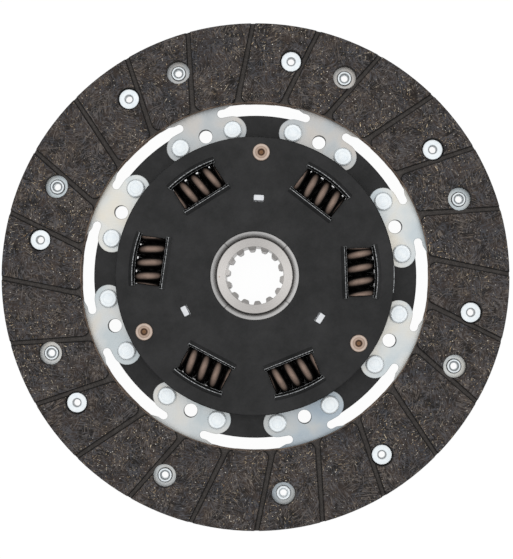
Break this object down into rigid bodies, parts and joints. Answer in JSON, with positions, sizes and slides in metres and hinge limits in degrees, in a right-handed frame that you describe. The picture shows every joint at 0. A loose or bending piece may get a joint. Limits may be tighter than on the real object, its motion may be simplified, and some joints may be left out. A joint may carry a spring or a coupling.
{
  "type": "clutch disc",
  "caption": "Round sprung clutch disc: grooved friction linings on wavy spring segments, coil springs in windows, splined hub that turns slightly against them.",
  "frame": {"origin": "on the disc's axis at the rear end face of the hub, which is its lowest point as it lies", "axes": "+Z along the disc's axis, towards the gearbox side with the cover plate; +X and +Y in the disc's plane, to the right and up in the picture"},
  "size_m": [0.228, 0.228, 0.0247],
  "materials": {
    "hub_steel": "machined",
    "black_plate": "satin black oxide",
    "pin_steel": "bronze tinted",
    "washer_plastic": "matt",
    "ring_steel": "zinc plated",
    "guide_steel": "machined",
    "friction_lining": "ground, woven fibre",
    "rivet_steel": "zinc plated",
    "segment_steel": "rolled",
    "spring_steel": "tempered brown"
  },
  "bodies": {
    "disc": {"drive_plate": "black_plate", "cover_plate": "black_plate", "stop_pins": "pin_steel", "friction_washer": "washer_plastic", "tabbed_ring": "ring_steel", "cone_spring": "ring_steel", "front_guide_ring": "guide_steel", "rear_guide_ring": "washer_plastic", "front_lining": "friction_lining", "rear_lining": "friction_lining", "front_lining_rivets": "rivet_steel", "rear_lining_rivets": "rivet_steel", "foot_rivets": "rivet_steel", "cushion_segment_1": "segment_steel", "cushion_segment_2": "segment_steel", "cushion_segment_3": "segment_steel", "cushion_segment_4": "segment_steel", "cushion_segment_5": "segment_steel", "cushion_segment_6": "segment_steel", "cushion_segment_7": "segment_steel", "cushion_segment_8": "segment_steel"},
    "hub": {"hub": "hub_steel"},
    "springs": {"damper_spring_1": "spring_steel", "damper_spring_2": "spring_steel", "damper_spring_3": "spring_steel", "damper_spring_4": "spring_steel", "damper_spring_5": "spring_steel", "damper_spring_6": "spring_steel"}
  },
  "joints": [
    {"name": "hub_twist", "type": "hinge", "parent": "disc", "child": "hub", "pos_m": [0, 0, 0.0161], "axis": [0, 0, 1], "range_deg": [-5.5, 5.5], "stiffness_Nm_per_rad": 5},
    {"name": "spring_float", "type": "hinge", "parent": "disc", "child": "springs", "pos_m": [0, 0, 0.0161], "axis": [0, 0, 1], "range_deg": [-2.75, 2.75], "deforming": ["damper_spring_1", "damper_spring_2", "damper_spring_3", "damper_spring_4", "damper_spring_5", "damper_spring_6"]}
  ],
  "couplings": [
    {"joint": "spring_float", "follows": "hub_twist", "ratio": 0.5}
  ]
}
